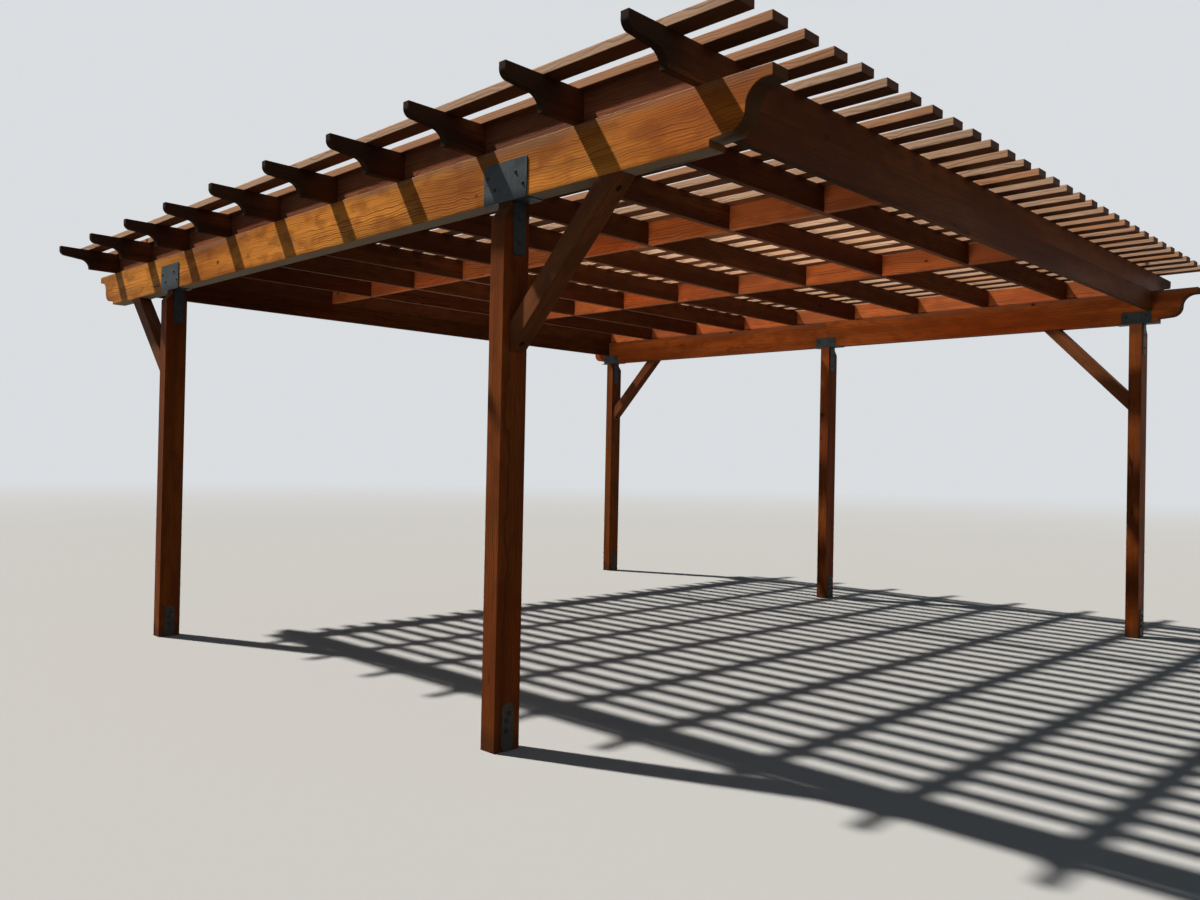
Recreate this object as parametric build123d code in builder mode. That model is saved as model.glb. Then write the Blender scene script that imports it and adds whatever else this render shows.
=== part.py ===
from build123d import *
from math import hypot
import os

os.makedirs("parts", exist_ok=True)

# Garden pergola in stained timber, an open frame on five posts. Sizes are in millimetres.
# The origin is on the floor under the middle of the frame.
# X runs along the main beams, Y from the front beam to the back one, Z up.

# Main beams, on edge, with ogee ends
beam_length = 6330
beam_thickness = 90
beam_depth = 235
beam_underside = 2395
beam_spacing = 5442
beam_nose = 43
beam_ledge = 30
beam_cove_radius = 82
beam_round_radius = 76
beam_scroll_length = 267
beam_heel = 28

# Posts, which stand proud of the beams on the outside and are weathered off at the top
post_width = 90
post_depth = 140
post_proud = 38
post_bevel_drop = 78
post_bevel_rise = 48
front_post_spacing = 3590
back_post_spacing = 5552
post_rows_middle_x = -22
middle_post_x = 48

# Steel column caps and base straps
steel = 5
cap_length = 288
cap_height = 173
cap_corner_radius = 8
cap_inner_length = 210
cap_inner_height = 86
strap_width = 66
cap_strap_drop = 238
cap_strap_radius = 20
base_strap_height = 210
base_strap_radius = 30

# Knee braces, measured from the face of the post and down from the beam
brace_width = 89
brace_depth = 89
brace_reach = 645
brace_drop = 662

# Pockets that sink the bolt heads into the underside of a knee brace
pocket_diameter = 30
pocket_depth = 18
pocket_from_foot = 46
pocket_from_tip = 70

# Rafters, on edge across the main beams, with a shaped tail at both ends
rafter_count = 10
rafter_pitch = 632
rafter_thickness = 38
rafter_depth = 141
rafter_tail = 395
tail_nose = 27
tail_round_radius = 36
tail_cove_radius = 63
tail_heel = 4
tail_heel_from_beam = 193

# Side boards, hung between the main beams under the outermost rafters
side_board_depth = 146

# Blocking, in rows between the rafters
blocking_thickness = 38
blocking_setback = 22
inner_row_spacing = 1806

# Slats, laid flat across the rafters
slat_count = 30
slats_per_group = 5
slat_width = 93
slat_thickness = 36
slat_pitch = 197.6
first_slat_lead = 204

# Levels and lines that follow from the sizes above
beam_top = beam_underside + beam_depth
rafter_top = beam_top + rafter_depth
post_top = beam_underside - steel
beam_y = beam_spacing / 2
beam_outer_y = beam_y + beam_thickness / 2
beam_inner_y = beam_y - beam_thickness / 2
post_outer_y = beam_outer_y + post_proud
post_y = post_outer_y - post_depth / 2
rafter_nose_y = beam_outer_y + rafter_tail
rafter_x = [(i - (rafter_count - 1) / 2) * rafter_pitch for i in range(rafter_count)]
front_left_x = post_rows_middle_x - front_post_spacing / 2
front_right_x = post_rows_middle_x + front_post_spacing / 2
back_left_x = post_rows_middle_x - back_post_spacing / 2
back_right_x = post_rows_middle_x + back_post_spacing / 2

# Each post with its name, its place and the side it stands on: -1 front, 1 back
posts = [
    ("front_left", front_left_x, -1),
    ("front_right", front_right_x, -1),
    ("back_left", back_left_x, 1),
    ("back_middle", middle_post_x, 1),
    ("back_right", back_right_x, 1),
]

# Each knee brace with the post it springs from and the way it leans along the beam
braces = [
    ("front_left", front_left_x, -1, -1),
    ("front_right", front_right_x, -1, 1),
    ("back_left", back_left_x, 1, 1),
    ("back_right", back_right_x, 1, -1),
]


# Outline of a shaped beam end, from the top of the nose to the bottom edge
def beam_end(end_x, side):
    ledge_z = beam_top - beam_nose
    cove_x = end_x - side * beam_ledge
    waist_x = cove_x - side * beam_cove_radius
    waist_z = ledge_z - beam_cove_radius
    foot_x = waist_x - side * beam_round_radius
    foot_z = waist_z - beam_round_radius
    heel_x = end_x - side * beam_scroll_length
    Line((end_x, beam_top), (end_x, ledge_z))
    Line((end_x, ledge_z), (cove_x, ledge_z))
    RadiusArc((cove_x, ledge_z), (waist_x, waist_z), -side * beam_cove_radius)
    RadiusArc((waist_x, waist_z), (foot_x, foot_z), side * beam_round_radius)
    Line((foot_x, foot_z), (heel_x, beam_underside + beam_heel))
    Line((heel_x, beam_underside + beam_heel), (heel_x, beam_underside))
    return heel_x


# Outline of a shaped rafter tail, from the top of the nose to the bottom edge
def rafter_end(side):
    nose_y = side * rafter_nose_y
    round_y = nose_y - side * tail_round_radius
    round_z = rafter_top - tail_nose - tail_round_radius
    heel_y = side * (beam_outer_y + tail_heel_from_beam)
    heel_z = beam_top + tail_heel
    cove_y = heel_y + side * tail_cove_radius
    cove_z = heel_z + tail_cove_radius
    Line((nose_y, rafter_top), (nose_y, rafter_top - tail_nose))
    RadiusArc((nose_y, rafter_top - tail_nose), (round_y, round_z), side * tail_round_radius)
    Line((round_y, round_z), (cove_y, cove_z))
    RadiusArc((cove_y, cove_z), (heel_y, heel_z), -side * tail_cove_radius)
    Line((heel_y, heel_z), (heel_y, beam_top))
    return heel_y


# Posts
for name, post_x, side in posts:
    outer_y = side * post_outer_y
    step_y = side * beam_outer_y
    inner_y = side * (post_outer_y - post_depth)
    with BuildPart() as post:
        with BuildSketch(Plane.YZ.offset(post_x)):
            with BuildLine():
                Polyline(
                    (inner_y, 0),
                    (outer_y, 0),
                    (outer_y, beam_underside - post_bevel_drop),
                    (step_y, beam_underside - post_bevel_drop + post_bevel_rise),
                    (step_y, post_top),
                    (inner_y, post_top),
                    close=True,
                )
            make_face()
        extrude(amount=post_width / 2, both=True)
    post.part.label = "post_" + name
    export_step(post.part, "parts/post_" + name + ".step")

# Base straps, one plate on each side of a post
for name, post_x, side in posts:
    with BuildPart() as base_straps:
        for face in (-1, 1):
            middle_x = post_x + face * (post_width + steel) / 2
            with BuildSketch(Plane.YZ.offset(middle_x)):
                with Locations((side * post_y, base_strap_height / 2)):
                    plate = Rectangle(strap_width, base_strap_height)
                top_corners = plate.vertices().group_by(Axis.Z)[-1]
                fillet(top_corners, radius=base_strap_radius)
            extrude(amount=steel / 2, both=True)
    base_straps.part.label = "base_straps_" + name
    export_step(base_straps.part, "parts/base_straps_" + name + ".step")

# Column caps: a seat under the beam, a tall plate on its outer face, a low one on its inner face
# and a strap down each side of the post
for name, post_x, side in posts:
    plates = [(side, cap_length, cap_height), (-side, cap_inner_length, cap_inner_height)]
    with BuildPart() as cap:
        with Locations((post_x, side * beam_y, beam_underside - steel / 2)):
            Box(cap_length, beam_thickness + 2 * steel, steel)
        for face, plate_length, plate_height in plates:
            plate_y = side * beam_y + face * (beam_thickness + steel) / 2
            with BuildSketch(Plane.XZ.offset(-plate_y)):
                with Locations((post_x, beam_underside + plate_height / 2)):
                    plate = Rectangle(plate_length, plate_height)
                fillet(plate.vertices().group_by(Axis.Z)[-1], radius=cap_corner_radius)
            extrude(amount=steel / 2, both=True)
        for face in (-1, 1):
            strap_x = post_x + face * (post_width + steel) / 2
            strap_middle = post_top - (cap_strap_drop - steel) / 2
            with BuildSketch(Plane.YZ.offset(strap_x)):
                with Locations((side * beam_y, strap_middle)):
                    plate = Rectangle(strap_width, cap_strap_drop - steel)
                fillet(plate.vertices().group_by(Axis.Z)[0], radius=cap_strap_radius)
            extrude(amount=steel / 2, both=True)
    cap.part.label = "cap_" + name
    export_step(cap.part, "parts/cap_" + name + ".step")

# Front beam, in one length
with BuildPart() as beam_front:
    with BuildSketch(Plane.XZ.offset(beam_y)):
        with BuildLine():
            left_heel = beam_end(-beam_length / 2, -1)
            right_heel = beam_end(beam_length / 2, 1)
            Line((left_heel, beam_underside), (right_heel, beam_underside))
            Line((-beam_length / 2, beam_top), (beam_length / 2, beam_top))
        make_face()
    extrude(amount=beam_thickness / 2, both=True)
beam_front.part.label = "beam_front"
export_step(beam_front.part, "parts/beam_front.step")

# Back beam, in two lengths that butt over the middle post
for name, side in (("left", -1), ("right", 1)):
    with BuildPart() as beam_back:
        with BuildSketch(Plane.XZ.offset(-beam_y)):
            with BuildLine():
                heel = beam_end(side * beam_length / 2, side)
                Line((heel, beam_underside), (middle_post_x, beam_underside))
                Line((middle_post_x, beam_underside), (middle_post_x, beam_top))
                Line((middle_post_x, beam_top), (side * beam_length / 2, beam_top))
            make_face()
        extrude(amount=beam_thickness / 2, both=True)
    beam_back.part.label = "beam_back_" + name
    export_step(beam_back.part, "parts/beam_back_" + name + ".step")

# Side boards, which butt on the inner faces of the main beams
for name, board_x in (("left", rafter_x[0]), ("right", rafter_x[-1])):
    with BuildPart() as side_board:
        with Locations((board_x, 0, beam_top - side_board_depth / 2)):
            Box(rafter_thickness, 2 * beam_inner_y, side_board_depth)
    side_board.part.label = "side_board_" + name
    export_step(side_board.part, "parts/side_board_" + name + ".step")

# Rafters
for number, board_x in enumerate(rafter_x, start=1):
    with BuildPart() as rafter:
        with BuildSketch(Plane.YZ.offset(board_x)):
            with BuildLine():
                front_heel = rafter_end(-1)
                back_heel = rafter_end(1)
                Line((front_heel, beam_top), (back_heel, beam_top))
                Line((-rafter_nose_y, rafter_top), (rafter_nose_y, rafter_top))
            make_face()
        extrude(amount=rafter_thickness / 2, both=True)
    rafter.part.label = f"rafter_{number:02d}"
    export_step(rafter.part, f"parts/rafter_{number:02d}.step")

# Blocking: a row over each main beam and two rows between
outer_row_y = beam_outer_y - blocking_setback - blocking_thickness / 2
rows = [
    ("front", -outer_row_y),
    ("inner_front", -inner_row_spacing / 2),
    ("inner_back", inner_row_spacing / 2),
    ("back", outer_row_y),
]
block_length = rafter_pitch - rafter_thickness
for name, row_y in rows:
    with BuildPart() as blocking:
        for left_x in rafter_x[:-1]:
            with Locations((left_x + rafter_pitch / 2, row_y, beam_top + rafter_depth / 2)):
                Box(block_length, blocking_thickness, rafter_depth)
    blocking.part.label = "blocking_" + name
    export_step(blocking.part, "parts/blocking_" + name + ".step")

# Slats, in groups from the front to the back
slat_y = [-beam_outer_y - first_slat_lead + slat_width / 2 + i * slat_pitch for i in range(slat_count)]
for first in range(0, slat_count, slats_per_group):
    group = slat_y[first:first + slats_per_group]
    number = first // slats_per_group + 1
    with BuildPart() as slats:
        for middle_y in group:
            with Locations((0, middle_y, rafter_top + slat_thickness / 2)):
                Box(beam_length, slat_width, slat_thickness)
    slats.part.label = f"slats_{number}"
    export_step(slats.part, f"parts/slats_{number}.step")

# Knee braces, cut to sit flat on the post and under the beam, with a bolt pocket near each end
brace_length = hypot(brace_reach, brace_drop)
brace_top_cut = brace_depth * brace_length / brace_drop
brace_foot_cut = brace_depth * brace_length / brace_reach
for name, post_x, side, lean in braces:
    face_x = post_x + lean * post_width / 2
    with BuildPart() as brace:
        with BuildSketch(Plane.XZ.offset(-side * beam_y)):
            with BuildLine():
                Polyline(
                    (face_x, beam_underside - brace_drop),
                    (face_x + lean * brace_reach, beam_underside),
                    (face_x + lean * (brace_reach - brace_top_cut), beam_underside),
                    (face_x, beam_underside - brace_drop + brace_foot_cut),
                    close=True,
                )
            make_face()
        extrude(amount=brace_width / 2, both=True)
        for distance in (pocket_from_foot, brace_length - pocket_from_tip):
            pocket_x = face_x + lean * distance * brace_reach / brace_length
            pocket_z = beam_underside - brace_drop + distance * brace_drop / brace_length
            outward = (lean * brace_drop, 0, -brace_reach)
            with BuildSketch(Plane(origin=(pocket_x, side * beam_y, pocket_z), z_dir=outward)):
                Circle(pocket_diameter / 2)
            extrude(amount=-pocket_depth, mode=Mode.SUBTRACT)
    brace.part.label = "brace_" + name
    export_step(brace.part, "parts/brace_" + name + ".step")
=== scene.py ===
import math

import bmesh
import bpy
from mathutils import Matrix, Vector


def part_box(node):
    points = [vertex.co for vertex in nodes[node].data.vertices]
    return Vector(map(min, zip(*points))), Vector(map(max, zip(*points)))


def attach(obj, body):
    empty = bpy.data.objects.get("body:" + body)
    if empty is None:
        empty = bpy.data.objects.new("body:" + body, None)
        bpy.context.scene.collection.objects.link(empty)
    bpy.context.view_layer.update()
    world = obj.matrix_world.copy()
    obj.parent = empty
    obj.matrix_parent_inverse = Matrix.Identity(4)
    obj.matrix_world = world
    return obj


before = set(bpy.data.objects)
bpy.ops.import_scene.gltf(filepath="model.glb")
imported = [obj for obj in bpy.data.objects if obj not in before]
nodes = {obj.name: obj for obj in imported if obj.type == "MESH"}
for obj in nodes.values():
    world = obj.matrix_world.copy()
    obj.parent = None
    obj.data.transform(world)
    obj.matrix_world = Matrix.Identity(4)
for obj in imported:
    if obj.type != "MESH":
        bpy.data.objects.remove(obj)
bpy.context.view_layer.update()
post_names = ("front_left", "front_right", "back_left", "back_middle", "back_right")
beam_names = ("beam_front", "beam_back_left", "beam_back_right")
board_names = ("side_board_left", "side_board_right")


def nodes_called(start):
    return [name for name in sorted(nodes) if name.startswith(start)]


rafter_names = nodes_called("rafter_")
blocking_names = nodes_called("blocking_")
slat_names = nodes_called("slats_")
brace_names = nodes_called("brace_")


def centre_of(node):
    low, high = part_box(node)
    return (low + high) / 2


def half_length(node, axis):
    low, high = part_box(node)
    return (high - low).dot(axis) / 2


# 1 where a brace rises towards the right, -1 where it rises towards the left
def lean_of(brace):
    return 1 if ("right" in brace) == ("front" in brace) else -1


# Directions: X runs along the main beams, Y from front to back and Z up
x_axis = Vector((1, 0, 0))
y_axis = Vector((0, 1, 0))
z_axis = Vector((0, 0, 1))

# Sizes worked out from the frame, in metres
rafter_pitch = centre_of(rafter_names[1]).x - centre_of(rafter_names[0]).x
slats_in_group = 5
group_pitch = centre_of(slat_names[1]).y - centre_of(slat_names[0]).y
slat_pitch = group_pitch / slats_in_group
beam_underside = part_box("beam_front")[0].z
slat_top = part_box("slats_1")[1].z


# Adds shader nodes to a tree, with plain values or links for their inputs
class Graph:
    def __init__(self, tree):
        self.tree = tree

    def add(self, kind, settings=None, **inputs):
        node = self.tree.nodes.new(kind)
        for key, value in (settings or {}).items():
            setattr(node, key, value)
        for name, value in inputs.items():
            self.feed(node.inputs[name.replace("_", " ")], value)
        return node

    def feed(self, socket, value):
        if isinstance(value, bpy.types.NodeSocket):
            self.tree.links.new(value, socket)
        else:
            socket.default_value = value

    def math(self, operation, first, second=0.0, third=0.0):
        node = self.add("ShaderNodeMath", {"operation": operation})
        for socket, value in zip(node.inputs, (first, second, third)):
            self.feed(socket, value)
        return node.outputs[0]

    def product(self, first, second):
        return self.math("MULTIPLY", first, second)

    # The value times a slope, plus a start
    def line(self, value, slope, start):
        return self.math("MULTIPLY_ADD", value, slope, start)

    def vector(self, operation, first, second=(0.0, 0.0, 0.0)):
        node = self.add("ShaderNodeVectorMath", {"operation": operation})
        self.feed(node.inputs[0], first)
        self.feed(node.inputs[1], second)
        return node.outputs["Value"] if operation in ("DOT_PRODUCT", "LENGTH") else node.outputs["Vector"]

    # A colour or a vector times a number
    def scaled(self, value, amount):
        node = self.add("ShaderNodeVectorMath", {"operation": "SCALE"})
        self.feed(node.inputs[0], value[:3] if isinstance(value, tuple) else value)
        self.feed(node.inputs["Scale"], amount)
        return node.outputs["Vector"]

    def joined(self, parts):
        return self.add("ShaderNodeCombineXYZ", X=parts[0], Y=parts[1], Z=parts[2]).outputs["Vector"]

    def parts(self, value):
        return self.add("ShaderNodeSeparateXYZ", Vector=value).outputs

    # Noise with about so many waves a metre along each axis
    def noise_outputs(self, place, waves, detail=1.0):
        stretched = self.vector("MULTIPLY", place, waves)
        return self.add("ShaderNodeTexNoise", Vector=stretched, Scale=1.0, Detail=detail).outputs

    def noise(self, place, waves, detail=1.0):
        return self.noise_outputs(place, waves, detail)[0]

    def chance(self, number):
        return self.add("ShaderNodeTexWhiteNoise", {"noise_dimensions": "1D"}, W=number).outputs

    # From 0 at the first bound to 1 at the second, smoothly. The first may be the larger one.
    def step(self, value, first, second):
        node = self.add("ShaderNodeMapRange", {"interpolation_type": "SMOOTHSTEP"})
        self.feed(node.inputs["Value"], value)
        self.feed(node.inputs["From Min"], first)
        self.feed(node.inputs["From Max"], second)
        return node.outputs["Result"]

    def mix(self, factor, first, second):
        node = self.add("ShaderNodeMix", {"data_type": "RGBA"})
        self.feed(node.inputs["Factor"], factor)
        self.feed(node.inputs[6], first)
        self.feed(node.inputs[7], second)
        return node.outputs[2]

    # How far a surface faces a direction, from 0 to 1
    def facing(self, normal, direction):
        return self.math("MAXIMUM", self.vector("DOT_PRODUCT", normal, direction), 0.0)

    # 1 where a surface lies square to an axis on either side, 0 where it runs along it
    def squareness(self, normal, axis):
        return self.math("ABSOLUTE", self.vector("DOT_PRODUCT", normal, axis))

    # How sharply the surface bends, from the rounded normals of its edges
    def edges(self, normal, rounded):
        return self.math("SUBTRACT", 1.0, self.vector("DOT_PRODUCT", normal, rounded))

    def bevel(self, radius):
        return self.add("ShaderNodeBevel", {"samples": 4}, Radius=radius).outputs["Normal"]


def colour(red, green, blue):
    return (red, green, blue, 1.0)


def empty_material(name):
    material = bpy.data.materials.new(name)
    material.use_nodes = True
    material.node_tree.nodes.clear()
    return material, Graph(material.node_tree)


def show_surface(graph, shader):
    output = graph.add("ShaderNodeOutputMaterial")
    graph.feed(output.inputs["Surface"], shader)


def cover(thing, material):
    if not thing.data.materials:
        thing.data.materials.append(material)
    for slot in thing.material_slots:
        slot.material = material


def add_object(name, data):
    thing = bpy.data.objects.new(name, data)
    bpy.context.collection.objects.link(thing)
    return thing


# Knots in some cells of a board, and the bulge with which the rings pass around them
def knots(g, place):
    cells_a_metre = (1.25, 5.0, 5.0)
    knot_stretch = (0.7, 1.0, 0.3)
    share_without = 0.5
    least_radius = 0.007
    more_radius = 0.014
    bulge_reach = 0.075
    cell_place = g.vector("MULTIPLY", place, cells_a_metre)
    cells = g.add("ShaderNodeTexVoronoi", {"feature": "F1"}, Vector=cell_place, Scale=1.0, Randomness=0.9)
    away = g.vector("SUBTRACT", cell_place, cells.outputs["Position"])
    away = g.vector("DIVIDE", away, cells_a_metre)
    away = g.vector("LENGTH", g.vector("MULTIPLY", away, knot_stretch))
    chances = g.parts(cells.outputs["Color"])
    kept = g.math("GREATER_THAN", chances["X"], share_without)
    knot_radius = g.line(chances["Y"], more_radius, least_radius)
    knot = g.product(kept, g.step(g.math("DIVIDE", away, knot_radius), 1.15, 0.75))
    bulge = g.product(kept, g.step(away, bulge_reach, 0.0))
    return knot, bulge


# Distance from a pith beside the board, bent by drift, knots, ripples and a fine tremble
def ring_radius(g, board, place, chances, bulge):
    drift_waves = (0.55, 1.6, 1.6)
    drift_reach = (0.0, 0.10, 0.10)
    ripple_waves = (4.2, 9.0, 9.0)
    ripple_height = 0.032
    tremble_waves = (14.0, 22.0, 22.0)
    tremble_height = 0.013
    bulge_height = 0.010
    drift = g.vector("SUBTRACT", g.noise_outputs(place, drift_waves, 1.5)["Color"], (0.5, 0.5, 0.5))
    drift = g.vector("MULTIPLY", drift, drift_reach)
    pith = g.joined((0.0, g.line(chances["Y"], -0.16, 0.22), g.line(chances["Z"], 0.09, 0.05)))
    across = g.vector("MULTIPLY", board, (0.0, 1.0, 1.0))
    radius = g.vector("LENGTH", g.vector("ADD", g.vector("ADD", across, drift), pith))
    radius = g.line(bulge, bulge_height, radius)
    radius = g.line(g.noise(place, ripple_waves), ripple_height, radius)
    return g.line(g.noise(place, tremble_waves, 1.5), tremble_height, radius)


# Dark late wood of the rings, with a strength for each ring, and fainter in parts of the board
def late_wood(g, place, radius):
    ring_width = 0.0115
    marked_waves = (1.7, 6.0, 6.0)
    rings = g.math("DIVIDE", radius, ring_width)
    through = g.math("FRACT", rings)
    ring = g.product(g.step(through, 0.22, 0.84), g.step(through, 1.0, 0.94))
    strength = g.chance(g.math("FLOOR", rings))["Value"]
    ring = g.product(ring, g.line(strength, 0.7, 0.3))
    marked = g.step(g.noise(place, marked_waves, 2.0), 0.36, 0.62)
    return g.product(ring, g.line(marked, 0.62, 0.48))


# Fine cracks along the grain, in parts of a board
def drying_checks(g, place):
    crack_waves = (0.8, 24.0, 24.0)
    cracked_waves = (1.3, 5.0, 5.0)
    from_crack = g.math("ABSOLUTE", g.math("SUBTRACT", g.noise(place, crack_waves, 0.5), 0.5))
    cracked = g.step(g.noise(place, cracked_waves), 0.57, 0.66)
    return g.product(cracked, g.step(from_crack, 0.011, 0.003))


# Plain noises of the figure, with the waves a metre along, across and through the board, and detail
figure_noises = {
    "Fibre": ((5.0, 240.0, 240.0), 2.0),
    "Streak": ((0.9, 13.0, 13.0), 2.0),
    "Patch": ((0.9, 4.5, 4.5), 3.0),
    "Blot": ((6.5, 15.0, 15.0), 3.0),
    "Warmth": ((0.45, 1.4, 1.4), 1.0),
}


# The figure of a sawn board: its rings, knots, drying checks and noises, and a tone of its own.
# "Board" is the place in the board in metres, with X along the grain and Z through the wide face.
def board_figure():
    seed_shift = (37.0, 23.0, 31.0)
    tree = bpy.data.node_groups.new("board figure", "ShaderNodeTree")
    tree.interface.new_socket("Board", in_out="INPUT", socket_type="NodeSocketVector")
    tree.interface.new_socket("Seed", in_out="INPUT", socket_type="NodeSocketFloat")
    for name in ("Ring", "Knot", "Check", "Tone", *figure_noises):
        tree.interface.new_socket(name, in_out="OUTPUT", socket_type="NodeSocketFloat")
    g = Graph(tree)
    given = g.add("NodeGroupInput").outputs
    result = g.add("NodeGroupOutput").inputs
    chance = g.chance(given["Seed"])["Color"]
    chances = g.parts(chance)
    place = g.vector("ADD", given["Board"], g.vector("MULTIPLY", chance, seed_shift))
    knot, bulge = knots(g, place)
    radius = ring_radius(g, given["Board"], place, chances, bulge)
    g.feed(result["Ring"], late_wood(g, place, radius))
    g.feed(result["Knot"], knot)
    g.feed(result["Check"], drying_checks(g, place))
    g.feed(result["Tone"], chances["X"])
    for name, (waves, detail) in figure_noises.items():
        g.feed(result[name], g.noise(place, waves, detail))
    return tree


# Colours of the stained wood, from its rings and streaks to patches and blots of dark stain
def stained_wood(g, given, fig):
    ruddy = (0.80, 0.60, 0.46)
    ring_share = 0.95
    patch_share = 0.6
    blot_share = 0.50
    tint = g.mix(g.product(fig["Ring"], ring_share), given["Pale"], given["Dark"])
    tint = g.scaled(tint, g.line(fig["Fibre"], 0.5, g.line(fig["Streak"], 1.3, 0.1)))
    least_tone = g.math("SUBTRACT", 1.0, g.product(given["Spread"], 0.5))
    tint = g.scaled(tint, g.line(fig["Tone"], given["Spread"], least_tone))
    tint = g.mix(g.step(fig["Warmth"], 0.46, 0.66), tint, g.vector("MULTIPLY", tint, ruddy))
    patch = g.product(g.step(fig["Patch"], 0.46, 0.70), patch_share)
    tint = g.mix(patch, tint, g.scaled(given["Dark"], 1.2))
    blot = g.product(g.step(fig["Blot"], 0.46, 0.66), blot_share)
    return g.mix(blot, tint, g.scaled(given["Dark"], 1.15))


# Bleaching of the top and the front. Bleached tops are darker than bleached fronts.
def bleached_wood(g, given, fig, normal, mottle, tint):
    ruddy = (0.95, 0.74, 0.60)
    top_darkening = 0.58
    upward = g.facing(normal, (0.0, 0.0, 1.0))
    frontward = g.facing(normal, (0.0, -1.0, 0.0))
    bleach = g.math("ADD", g.product(upward, given["Top"]), g.product(frontward, given["Front"]))
    bleach = g.math("MINIMUM", g.product(bleach, mottle), 1.0)
    bleached = g.scaled(given["Bleached"], g.line(fig["Ring"], -0.45, 1.12))
    bleached = g.scaled(bleached, g.line(upward, -top_darkening, 1.0))
    ruddy_share = g.step(fig["Tone"], 0.35, 0.9)
    bleached = g.mix(ruddy_share, bleached, g.vector("MULTIPLY", bleached, ruddy))
    return g.mix(bleach, tint, bleached), bleach


# Dust on the underside. On the front beam its pale colour is partly painted light, bounced up from the
# floor.
def dust_and_bounce_wood(g, given, normal, mottle, tint):
    under = g.product(g.step(g.parts(normal)["Z"], -0.9, -0.99), given["Under"])
    dust_and_bounce_share = g.math("MINIMUM", g.product(under, mottle), 1.0)
    return g.mix(dust_and_bounce_share, tint, given["Dust And Bounce"]), under


# Grey haze along the upper edge of a wide face
def hazy_wood(g, given, fig, board_height, tint):
    haze_start = 0.148
    haze_end = 0.198
    haze_waviness = 0.14
    hazy = g.step(g.line(fig["Patch"], haze_waviness, board_height), haze_start, haze_end)
    return g.mix(g.product(hazy, given["Haze"]), tint, g.scaled(given["Bleached"], 0.62))


# Aged wood towards the tips of a board, more so on its narrow edges, and on its end faces. The darkening
# is partly painted shade.
def aged_and_shaded_wood(g, given, fig, normal, board_length, tint):
    end_share = 0.7
    to_tip = g.math("SUBTRACT", given["Half"], g.math("ABSOLUTE", board_length))
    to_tip = g.line(fig["Streak"], 0.7, g.math("DIVIDE", to_tip, given["Tip Length"]))
    on_edge = g.step(g.squareness(normal, given["Through"]), 0.7, 0.3)
    tip = g.math("MAXIMUM", given["Tips"], g.product(on_edge, given["Tip Edges"]))
    tip = g.product(g.step(to_tip, 1.35, 0.75), tip)
    tint = g.mix(tip, tint, g.scaled(given["Aged And Shaded"], g.line(fig["Fibre"], 0.9, 0.55)))
    end_face = g.product(g.step(g.squareness(normal, given["Grain"]), 0.5, 0.9), end_share)
    return g.mix(end_face, tint, given["Aged And Shaded"]), tip


# Pale worn edges, dark knots and dark checks
def marked_wood(g, given, fig, normal, rounded, tint):
    knot_wood = colour(0.030, 0.011, 0.005)
    check_wood = colour(0.012, 0.006, 0.004)
    worn_share = 0.22
    knot_share = 0.82
    check_share = 0.8
    worn = g.product(g.step(g.edges(normal, rounded), 0.02, 0.22), g.line(fig["Fibre"], 0.9, 0.1))
    tint = g.mix(g.product(worn, worn_share), tint, given["Bleached"])
    tint = g.mix(g.product(fig["Knot"], knot_share), tint, knot_wood)
    return g.mix(g.product(fig["Check"], check_share), tint, check_wood)


# Weathered and dusty wood is rougher, late wood a little smoother
def wood_roughness(g, fig, weathered, under):
    rough = g.line(fig["Patch"], 0.30, 0.46)
    rough = g.line(weathered, 0.25, rough)
    rough = g.line(under, 0.3, rough)
    return g.line(fig["Ring"], -0.08, rough)


# Fibres and rings stand out, checks and knots sink in
def grain_bump(g, fig, rounded):
    bump_depth = 0.0018
    height = g.line(fig["Fibre"], 0.45, g.product(fig["Ring"], 0.35))
    height = g.line(fig["Check"], -1.6, height)
    height = g.line(fig["Knot"], -0.3, height)
    bump = g.add("ShaderNodeBump", Strength=0.55, Distance=bump_depth, Height=height, Normal=rounded)
    return bump.outputs["Normal"]


# The stained and weathered finish, from a board's figure and the way its faces look
def stained_timber(figure):
    edge_radius = 0.005
    sheen = 0.06
    settings = ("Spread", "Top", "Front", "Under", "Haze", "Tips", "Tip Edges", "Tip Length")
    tree = bpy.data.node_groups.new("stained timber", "ShaderNodeTree")
    for name in ("Board", "Grain", "Through"):
        tree.interface.new_socket(name, in_out="INPUT", socket_type="NodeSocketVector")
    for name in ("Pale", "Dark", "Bleached", "Aged And Shaded", "Dust And Bounce"):
        tree.interface.new_socket(name, in_out="INPUT", socket_type="NodeSocketColor")
    for name in ("Seed", "Half", *settings):
        tree.interface.new_socket(name, in_out="INPUT", socket_type="NodeSocketFloat")
    tree.interface.new_socket("Surface", in_out="OUTPUT", socket_type="NodeSocketShader")
    g = Graph(tree)
    given = g.add("NodeGroupInput").outputs
    result = g.add("NodeGroupOutput").inputs
    fig = g.add("ShaderNodeGroup", {"node_tree": figure}, Board=given["Board"], Seed=given["Seed"]).outputs
    normal = g.add("ShaderNodeNewGeometry").outputs["Normal"]
    rounded = g.bevel(edge_radius)
    on_board = g.parts(given["Board"])
    mottle = g.line(fig["Patch"], 0.9, 0.45)
    tint = stained_wood(g, given, fig)
    tint, bleach = bleached_wood(g, given, fig, normal, mottle, tint)
    tint, under = dust_and_bounce_wood(g, given, normal, mottle, tint)
    tint = hazy_wood(g, given, fig, on_board["Y"], tint)
    tint, tip = aged_and_shaded_wood(g, given, fig, normal, on_board["X"], tint)
    tint = marked_wood(g, given, fig, normal, rounded, tint)
    rough = wood_roughness(g, fig, g.math("MAXIMUM", bleach, tip), under)
    surface = g.add("ShaderNodeBsdfPrincipled", Base_Color=tint, Roughness=rough)
    g.feed(surface.inputs["Normal"], grain_bump(g, fig, rounded))
    g.feed(surface.inputs["Specular IOR Level"], sheen)
    g.feed(result["Surface"], surface.outputs["BSDF"])
    return tree
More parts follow.
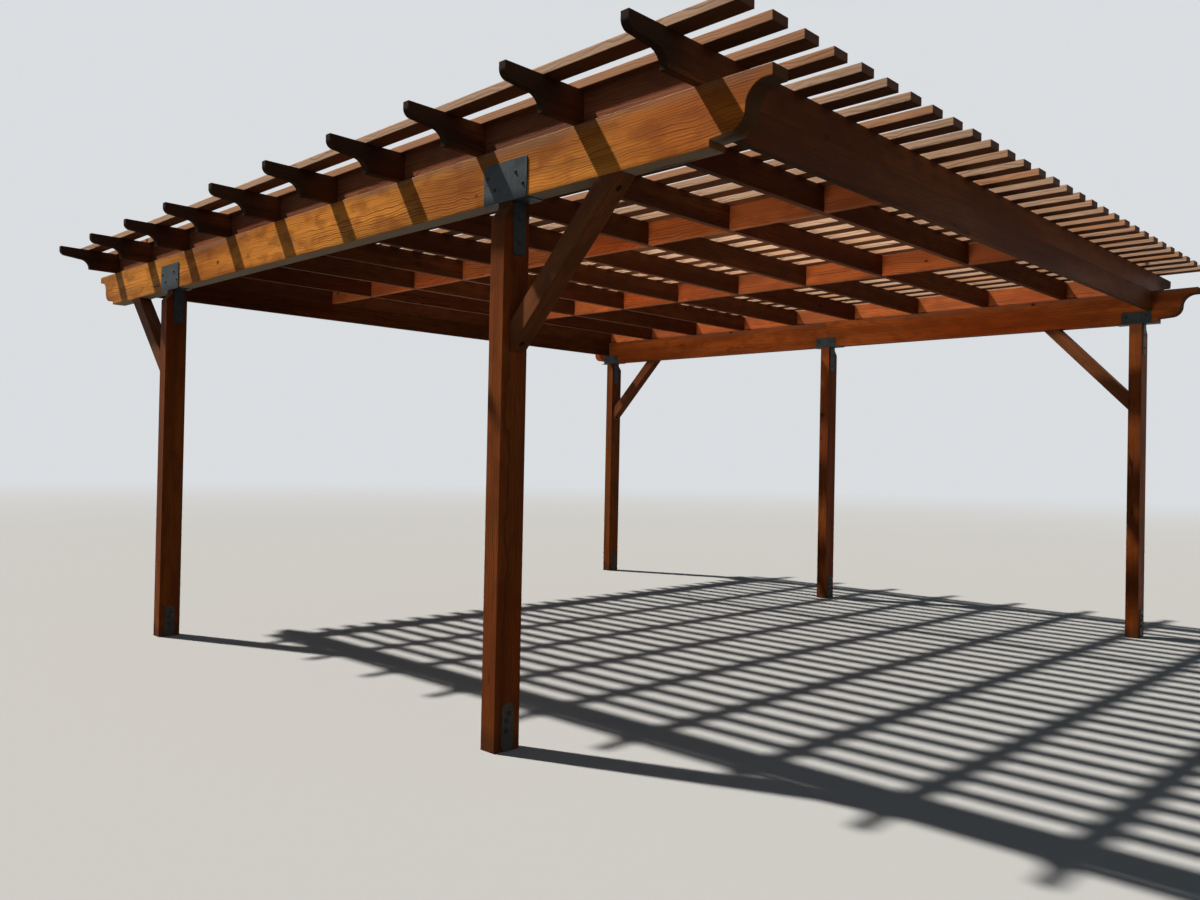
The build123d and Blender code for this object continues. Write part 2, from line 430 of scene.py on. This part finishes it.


# Finishes of each kind of board: the pale and dark wood of its rings, its bleached surface, its aged
# tips and ends (partly painted shade), its dusty underside (on the front beam also painted bounce light),
# how far boards differ, how far the top and the front bleach, how far the underside takes the dust colour,
# how far the upper edge greys, how far the tips and the edges at the tips darken, and how far in from the
# tips
finishes = {
    # The front beam: its own orange wood, made brighter as painted sunlight on its front
    "lit_front_beam": {
        "Pale": colour(0.84, 0.315, 0.046), "Dark": colour(0.235, 0.056, 0.008),
        "Bleached": colour(0.40, 0.25, 0.16), "Aged And Shaded": colour(0.075, 0.036, 0.016),
        # Pale underside colour: dust, and painted light bounced up from the floor
        "Dust And Bounce": colour(0.60, 0.50, 0.375),
        "Spread": 0.0, "Top": 0.9, "Front": 0.0, "Under": 0.95, "Haze": 0.55,
        "Tips": 0.15, "Tip Edges": 0.9, "Tip Length": 0.30,
    },
    "back_beam": {
        "Pale": colour(0.54, 0.124, 0.022), "Dark": colour(0.21, 0.042, 0.007),
        "Bleached": colour(0.40, 0.25, 0.16), "Aged And Shaded": colour(0.065, 0.030, 0.014),
        "Dust And Bounce": colour(0.14, 0.080, 0.045),
        "Spread": 0.0, "Top": 0.9, "Front": 0.0, "Under": 0.5, "Haze": 0.35,
        "Tips": 0.15, "Tip Edges": 0.9, "Tip Length": 0.30,
    },
    "post": {
        "Pale": colour(0.235, 0.057, 0.0080), "Dark": colour(0.095, 0.020, 0.0030),
        "Bleached": colour(0.34, 0.15, 0.075), "Aged And Shaded": colour(0.050, 0.022, 0.010),
        "Dust And Bounce": colour(0.12, 0.07, 0.04),
        "Spread": 0.2, "Top": 0.5, "Front": 0.05, "Under": 0.0, "Haze": 0.0,
        "Tips": 0.55, "Tip Edges": 0.55, "Tip Length": 0.12,
    },
    "rafter": {
        "Pale": colour(0.165, 0.047, 0.0130), "Dark": colour(0.066, 0.0180, 0.0063),
        "Bleached": colour(0.34, 0.22, 0.15), "Aged And Shaded": colour(0.028, 0.016, 0.0095),
        "Dust And Bounce": colour(0.075, 0.038, 0.020),
        "Spread": 0.3, "Top": 0.9, "Front": 0.0, "Under": 0.6, "Haze": 0.0,
        "Tips": 0.85, "Tip Edges": 0.85, "Tip Length": 0.42,
    },
    "side_board": {
        "Pale": colour(0.125, 0.037, 0.0075), "Dark": colour(0.052, 0.0135, 0.003),
        "Bleached": colour(0.34, 0.22, 0.15), "Aged And Shaded": colour(0.034, 0.019, 0.010),
        "Dust And Bounce": colour(0.075, 0.038, 0.020),
        "Spread": 0.1, "Top": 0.9, "Front": 0.0, "Under": 0.6, "Haze": 0.0,
        "Tips": 0.3, "Tip Edges": 0.3, "Tip Length": 0.30,
    },
    # The front row: a darker copy of the blocking wood, with painted shade
    "shaded_front_blocking": {
        "Pale": colour(0.30, 0.095, 0.036), "Dark": colour(0.128, 0.036, 0.014),
        "Bleached": colour(0.44, 0.27, 0.18), "Aged And Shaded": colour(0.08, 0.036, 0.020),
        "Dust And Bounce": colour(0.075, 0.038, 0.020),
        "Spread": 0.35, "Top": 0.9, "Front": 0.07, "Under": 0.5, "Haze": 0.0,
        "Tips": 0.0, "Tip Edges": 0.0, "Tip Length": 1.0,
    },
    # The other rows: a brighter copy of the same wood, with painted sunlight
    "lit_blocking": {
        "Pale": colour(0.54, 0.124, 0.024), "Dark": colour(0.23, 0.047, 0.009),
        "Bleached": colour(0.46, 0.25, 0.15), "Aged And Shaded": colour(0.10, 0.045, 0.024),
        "Dust And Bounce": colour(0.16, 0.080, 0.042),
        "Spread": 0.4, "Top": 0.9, "Front": 0.10, "Under": 0.6, "Haze": 0.0,
        "Tips": 0.0, "Tip Edges": 0.0, "Tip Length": 1.0,
    },
    "slat": {
        "Pale": colour(0.155, 0.050, 0.016), "Dark": colour(0.066, 0.019, 0.0075),
        "Bleached": colour(0.60, 0.370, 0.235), "Aged And Shaded": colour(0.085, 0.040, 0.022),
        "Dust And Bounce": colour(0.12, 0.055, 0.028),
        "Spread": 0.45, "Top": 1.05, "Front": 1.4, "Under": 0.3, "Haze": 0.0,
        "Tips": 0.15, "Tip Edges": 0.15, "Tip Length": 0.20,
    },
    "brace": {
        "Pale": colour(0.195, 0.062, 0.018), "Dark": colour(0.084, 0.023, 0.0072),
        "Bleached": colour(0.30, 0.15, 0.08), "Aged And Shaded": colour(0.050, 0.022, 0.010),
        "Dust And Bounce": colour(0.12, 0.060, 0.034),
        "Spread": 0.2, "Top": 0.4, "Front": 0.05, "Under": 0.2, "Haze": 0.0,
        "Tips": 0.0, "Tip Edges": 0.0, "Tip Length": 1.0,
    },
}
timber = stained_timber(board_figure())


# Dresses a timber node. Its axes are the grain, the width of the wide face and the way through it.
# Boards that repeat in one node, at a pitch along one of those axes, each get a figure of their own.
def dress_timber(node, kind, number, axes, half, repeat_axis=None, pitch=1.0):
    seed_step = 3.7
    material, g = empty_material("timber_" + node)
    place = g.add("ShaderNodeTexCoord").outputs["Object"]
    local = g.vector("SUBTRACT", place, centre_of(node))
    parts = [g.vector("DOT_PRODUCT", local, axis) for axis in axes]
    seed = float(number)
    if repeat_axis is not None:
        count = g.math("ROUND", g.math("DIVIDE", parts[repeat_axis], pitch))
        parts[repeat_axis] = g.line(count, -pitch, parts[repeat_axis])
        seed = g.line(count, seed_step, number)
    skin = g.add("ShaderNodeGroup", {"node_tree": timber}, Board=g.joined(parts), Seed=seed, Half=half)
    skin.inputs["Grain"].default_value = axes[0]
    skin.inputs["Through"].default_value = axes[2]
    for name, value in finishes[kind].items():
        skin.inputs[name].default_value = value
    show_surface(g, skin.outputs["Surface"])
    cover(nodes[node], material)


# Seeds of the figures, for the first board of each kind. The others count up from it.
post_seed = 11.3
beam_seed = 21.7
side_board_seed = 31.1
rafter_seed = 41.9
blocking_seed = 61.3
blocking_seed_step = 1.9
brace_seed = 81.7
slat_seed = 151.0
slat_seed_step = 23.0

# Timber
for number, name in enumerate(post_names):
    node = "post_" + name
    dress_timber(node, "post", post_seed + number, (z_axis, y_axis, x_axis), half_length(node, z_axis))
for number, name in enumerate(beam_names):
    # The front beam gets the copy of the beam wood with painted sunlight
    kind = "lit_front_beam" if name == "beam_front" else "back_beam"
    dress_timber(name, kind, beam_seed + number, (x_axis, z_axis, y_axis), half_length(name, x_axis))
for number, name in enumerate(board_names):
    axes = (y_axis, z_axis, x_axis)
    dress_timber(name, "side_board", side_board_seed + number, axes, half_length(name, y_axis))
for number, name in enumerate(rafter_names):
    dress_timber(name, "rafter", rafter_seed + number, (y_axis, z_axis, x_axis), half_length(name, y_axis))
for number, name in enumerate(blocking_names):
    # The front row gets the copy with painted shade, the other rows the copy with painted light
    kind = "shaded_front_blocking" if name == "blocking_front" else "lit_blocking"
    seed = blocking_seed + blocking_seed_step * number
    dress_timber(name, kind, seed, (x_axis, z_axis, y_axis), rafter_pitch, 0, rafter_pitch)
for number, name in enumerate(slat_names):
    seed = slat_seed + slat_seed_step * number
    axes = (x_axis, y_axis, -z_axis)
    dress_timber(name, "slat", seed, axes, half_length(name, x_axis), 1, slat_pitch)
for number, name in enumerate(brace_names):
    low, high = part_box(name)
    rise = Vector((lean_of(name) * (high.x - low.x), 0, high.z - low.z)).normalized()
    axes = (rise, rise.cross(y_axis), y_axis)
    dress_timber(name, "brace", brace_seed + number, axes, (high - low).length / 2)


# Dark paint on steel, painted lighter on the side that faces the front as painted sunlight, scuffed along
# the edges and rusting
def painted_steel(name, paint, rust_share, metal, front_painted_light):
    edge_radius = 0.0015
    bump_depth = 0.0009
    sheen = 0.2
    bare_steel = colour(0.15, 0.145, 0.135)
    dark_rust = colour(0.11, 0.038, 0.014)
    pale_rust = colour(0.20, 0.075, 0.026)
    material, g = empty_material(name)
    place = g.add("ShaderNodeTexCoord").outputs["Object"]
    normal = g.add("ShaderNodeNewGeometry").outputs["Normal"]
    rounded = g.bevel(edge_radius)
    cloud = g.noise(place, (14.0, 14.0, 14.0), 5.0)
    grit = g.noise(place, (420.0, 420.0, 420.0), 2.0)
    runs = g.noise(place, (60.0, 60.0, 7.0), 3.0)
    spots = g.noise(place, (95.0, 95.0, 95.0), 4.0)
    tint = g.mix(g.step(cloud, 0.38, 0.66), g.scaled(paint, 0.75), g.scaled(paint, 1.25))
    tint = g.mix(g.step(runs, 0.56, 0.76), tint, g.scaled(paint, 1.35))
    # Painted light: the side that faces the front is made lighter
    tint = g.scaled(tint, g.line(g.facing(normal, (0.0, -1.0, 0.0)), front_painted_light, 1.0))
    worn = g.product(g.step(g.edges(normal, rounded), 0.02, 0.2), g.step(grit, 0.35, 0.7))
    tint = g.mix(g.product(worn, 0.6), tint, bare_steel)
    rust = g.step(g.line(cloud, 0.55, spots), 0.90 - rust_share, 1.02 - rust_share)
    tint = g.mix(rust, tint, g.mix(grit, dark_rust, pale_rust))
    rough = g.line(rust, 0.3, g.line(cloud, 0.3, 0.40))
    height = g.line(grit, 0.35, g.product(rust, 0.7))
    bump = g.add("ShaderNodeBump", Strength=0.4, Distance=bump_depth, Height=height, Normal=rounded)
    surface = g.add("ShaderNodeBsdfPrincipled", Base_Color=tint, Roughness=rough)
    g.feed(surface.inputs["Normal"], bump.outputs["Normal"])
    g.feed(surface.inputs["Specular IOR Level"], sheen)
    g.feed(surface.inputs["Metallic"], g.line(rust, -metal, metal))
    show_surface(g, surface.outputs["BSDF"])
    return material


# Steel
# The caps get painted light on their fronts, the straps and bolts none
cap_paint = painted_steel("cap_paint", colour(0.026, 0.031, 0.033), -0.08, 0.0, 0.9)
strap_paint = painted_steel("strap_paint", colour(0.040, 0.040, 0.035), 0.07, 0.0, 0.0)
bolt_steel = painted_steel("bolt_steel", colour(0.020, 0.020, 0.019), -0.02, 0.3, 0.0)
for name in post_names:
    cover(nodes["cap_" + name], cap_paint)
    cover(nodes["base_straps_" + name], strap_paint)


# Adds a turned or faceted solid to a mesh, from rings of (radius, height) along a direction
def add_turned(mesh, point, direction, rings, sides):
    turn = direction.to_track_quat("Z", "Y").to_matrix()
    loops = []
    for radius, height in rings:
        corners = []
        for i in range(sides):
            angle = 2 * math.pi * (i + 0.5) / sides
            offset = Vector((radius * math.cos(angle), radius * math.sin(angle), height))
            corners.append(mesh.verts.new(point + turn @ offset))
        loops.append(corners)
    for lower, upper in zip(loops, loops[1:]):
        for i in range(sides):
            j = (i + 1) % sides
            mesh.faces.new((lower[i], lower[j], upper[j], upper[i]))
    mesh.faces.new(loops[0][::-1])
    mesh.faces.new(loops[-1])


def finish_piece(mesh, name, material):
    bmesh.ops.recalc_face_normals(mesh, faces=mesh.faces)
    data = bpy.data.meshes.new(name)
    mesh.to_mesh(data)
    mesh.free()
    piece = add_object(name, data)
    data.materials.append(material)
    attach(piece, "root")


# Washer and hexagon head of a bolt, as shares of the washer's radius
washer_rings = ((1.0, -0.03), (1.0, 0.13), (0.94, 0.18), (0.63, 0.18))
washer_sides = 20
head_rings = ((0.72, 0.16), (0.72, 0.56), (0.64, 0.66))
head_sides = 6


# A bolt's head on its washer, set on a face that looks along the direction
def add_bolt(mesh, point, direction, washer_radius):
    for rings, sides in ((washer_rings, washer_sides), (head_rings, head_sides)):
        sized = [(radius * washer_radius, height * washer_radius) for radius, height in rings]
        add_turned(mesh, point, direction, sized, sides)


# Bolts of the plates, as (sideways, above the beam's underside), and of the straps, as drops below it
outer_bolts = ((-0.119, 0.115), (0.070, 0.115), (-0.070, 0.058), (0.119, 0.058))
inner_bolts = ((-0.070, 0.052), (0.070, 0.052))
strap_bolt_drops = (0.085, 0.185)
strap_thickness = 0.005
cap_washer = 0.0092


# Bolts through the plates of a cap, and through its straps into the post
def bolt_cap(name):
    low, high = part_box("cap_" + name)
    post_low, post_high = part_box("post_" + name)
    middle = (low + high) / 2
    mesh = bmesh.new()
    front_row = middle.y < 0
    for face_y, outward, is_outer in ((low.y, -y_axis, front_row), (high.y, y_axis, not front_row)):
        for offset, height in outer_bolts if is_outer else inner_bolts:
            point = Vector((middle.x + offset, face_y, beam_underside + height))
            add_bolt(mesh, point, outward, cap_washer)
    strap_x = (post_high.x - post_low.x) / 2 + strap_thickness
    for side in (-1, 1):
        for drop in strap_bolt_drops:
            point = Vector((middle.x + side * strap_x, middle.y, beam_underside - drop))
            add_bolt(mesh, point, x_axis * side, cap_washer)
    finish_piece(mesh, "cap_bolts_" + name, bolt_steel)


# Bolts of the base straps, as (sideways, above the floor)
base_bolts = ((0.008, 0.165), (-0.006, 0.135), (-0.005, 0.088))
base_washer = 0.0115


# Bolts through the straps at the foot of a post
def bolt_base(name):
    low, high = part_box("base_straps_" + name)
    middle_y = (low.y + high.y) / 2
    mesh = bmesh.new()
    for face_x, outward in ((low.x, -x_axis), (high.x, x_axis)):
        for offset, height in base_bolts:
            add_bolt(mesh, Vector((face_x, middle_y + offset, height)), outward, base_washer)
    finish_piece(mesh, "base_bolts_" + name, bolt_steel)


# Pockets of the knee braces, measured from the foot and the upper tip of the outer face
pocket_depth = 0.018
pocket_from_foot = 0.046
pocket_from_tip = 0.070
brace_washer = 0.0125


# Bolts sunk in the pockets of a brace
def bolt_brace(name):
    low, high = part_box(name)
    lean = lean_of(name)
    rise = Vector((lean * (high.x - low.x), 0, high.z - low.z))
    outward = Vector((lean * (high.z - low.z), 0, low.x - high.x)).normalized()
    foot = Vector((low.x if lean > 0 else high.x, (low.y + high.y) / 2, low.z))
    mesh = bmesh.new()
    for distance in (pocket_from_foot, rise.length - pocket_from_tip):
        point = foot + rise.normalized() * distance - outward * pocket_depth
        add_bolt(mesh, point, outward, brace_washer)
    finish_piece(mesh, "bolts_" + name, bolt_steel)


# Screws of the slats. The rings are in metres, and the heads end flush with the top of the slat.
screw_rings = ((0.0046, -0.0002), (0.0046, 0.0006), (0.0030, 0.0012))
screw_sides = 8
screw_height = screw_rings[-1][1]
screw_spread_x = 0.006
screw_spread_y = 0.024


# Two screws through each slat into each rafter, set askew
def screw_slats(name, piece_name):
    middle = centre_of(name)
    mesh = bmesh.new()
    for i in range(slats_in_group):
        slat_y = middle.y + (i - (slats_in_group - 1) / 2) * slat_pitch
        for rafter in rafter_names:
            for side in (-1, 1):
                screw_x = centre_of(rafter).x + screw_spread_x * side
                point = Vector((screw_x, slat_y + side * screw_spread_y, slat_top - screw_height))
                add_turned(mesh, point, z_axis, screw_rings, screw_sides)
    finish_piece(mesh, piece_name, bolt_steel)


# Fasteners
for name in post_names:
    bolt_cap(name)
for name in post_names:
    bolt_base(name)
for name in brace_names:
    bolt_brace(name)
for group, name in enumerate(slat_names):
    screw_slats(name, "slat_screws_%d" % (group + 1))

# Camera, at the place and angle of the photograph
yaw = 0.77479
pitch = 0.01045
roll = 0.01973
eye = Vector((5.0803, -5.5217, 1.2694))
focal_pixels = 982.1
photo_width = 1200
camera_data = bpy.data.cameras.new("camera")
camera = add_object("camera", camera_data)
bpy.context.scene.camera = camera
forward = Vector((-math.sin(yaw) * math.cos(pitch), math.cos(yaw) * math.cos(pitch), math.sin(pitch)))
right = forward.cross(z_axis).normalized()
up = right.cross(forward)
right_rolled = right * math.cos(roll) + up * math.sin(roll)
up_rolled = up * math.cos(roll) - right * math.sin(roll)
turned = Matrix((right_rolled, up_rolled, -forward)).transposed().to_4x4()
camera.matrix_world = Matrix.Translation(eye) @ turned
camera_data.sensor_fit = "HORIZONTAL"
camera_data.sensor_width = 36
camera_data.lens = focal_pixels / photo_width * camera_data.sensor_width
camera_data.clip_end = 400

# Backdrop, and a floor that is seen in one colour and throws light back in a darker one. It fades
# into the backdrop between two distances from the middle.
backdrop_tone = colour(0.70, 0.725, 0.75)
floor_tone = colour(0.365, 0.359, 0.348)
floor_bounce = colour(0.062, 0.061, 0.058)
floor_half_size = 150
fade_start = 9.0
fade_end = 42.0


# 1 for the rays that show the background: those of the camera, of sheen and through glass
def rays_that_show(graph):
    path = graph.add("ShaderNodeLightPath").outputs
    beyond = graph.math("MAXIMUM", path["Is Glossy Ray"], path["Is Transmission Ray"])
    return graph.math("MAXIMUM", path["Is Camera Ray"], beyond)


# The first shader where the factor is 0, the second where it is 1
def blend_shaders(graph, factor, first, second):
    blend = graph.add("ShaderNodeMixShader", Fac=factor)
    graph.feed(blend.inputs[1], first.outputs[0])
    graph.feed(blend.inputs[2], second.outputs[0])
    return blend


# A pale floor that passes into the backdrop far from the object
def pale_floor():
    material, g = empty_material("floor")
    shown = rays_that_show(g)
    dim = g.add("ShaderNodeBsdfDiffuse", Color=floor_bounce)
    pale = g.add("ShaderNodeBsdfDiffuse", Color=floor_tone)
    near = blend_shaders(g, shown, dim, pale)
    away = g.vector("LENGTH", g.add("ShaderNodeNewGeometry").outputs["Position"])
    far = g.product(g.step(away, fade_start, fade_end), shown)
    haze = g.add("ShaderNodeEmission", Color=backdrop_tone, Strength=1.0)
    show_surface(g, blend_shaders(g, far, near, haze).outputs[0])
    return material


floor_mesh = bmesh.new()
bmesh.ops.create_grid(floor_mesh, x_segments=1, y_segments=1, size=floor_half_size)
floor_data = bpy.data.meshes.new("floor")
floor_mesh.to_mesh(floor_data)
floor_mesh.free()
floor = add_object("floor", floor_data)
floor_data.materials.append(pale_floor())


# Adds a lamp that shines along a direction
def add_lamp(name, kind, energy, tint, travel):
    lamp = add_object(name, bpy.data.lights.new(name, kind))
    lamp.data.energy = energy
    lamp.data.color = tint
    lamp.rotation_euler = Vector(travel).to_track_quat("-Z", "Y").to_euler()
    return lamp


# The sun, and two weak wide lamps for the light of the sky and the garden
key = add_lamp("key", "SUN", 6.2, (1.0, 0.97, 0.92), (0.64, 0.27, -1.0))
key.data.angle = math.radians(1.6)
front_light = add_lamp("front_light", "SUN", 0.09, (0.70, 0.86, 1.0), (0.20, 1.0, -0.18))
front_light.data.angle = math.radians(35.0)
side_light = add_lamp("side_light", "SUN", 0.36, (1.0, 0.98, 0.96), (-1.0, 0.12, -0.06))
side_light.data.angle = math.radians(35.0)

# A soft lamp low under the roof, for the sun that reaches the inner blocking in the photograph
under_light = add_lamp("under_light", "AREA", 38.0, (1.0, 0.95, 0.88), (0.0, 0.77, 0.64))
under_light.data.shape = "RECTANGLE"
under_light.data.size = 5.0
under_light.data.size_y = 0.8
under_light.data.spread = math.radians(70.0)
under_light.location = (0.0, -2.4, 0.25)
under_light.visible_camera = False

# World, with a weak sky that lights the object and the backdrop for the rays that show it
sky_tone = colour(0.64, 0.83, 1.0)
sky_strength = 0.13
world = bpy.data.worlds.new("world")
bpy.context.scene.world = world
world.use_nodes = True
world.node_tree.nodes.clear()
w = Graph(world.node_tree)
sky = w.add("ShaderNodeBackground", Color=sky_tone, Strength=sky_strength)
backdrop = w.add("ShaderNodeBackground", Color=backdrop_tone, Strength=1.0)
world_output = w.add("ShaderNodeOutputWorld")
w.feed(world_output.inputs["Surface"], blend_shaders(w, rays_that_show(w), sky, backdrop).outputs[0])
bpy.context.scene.view_settings.view_transform = "Standard"
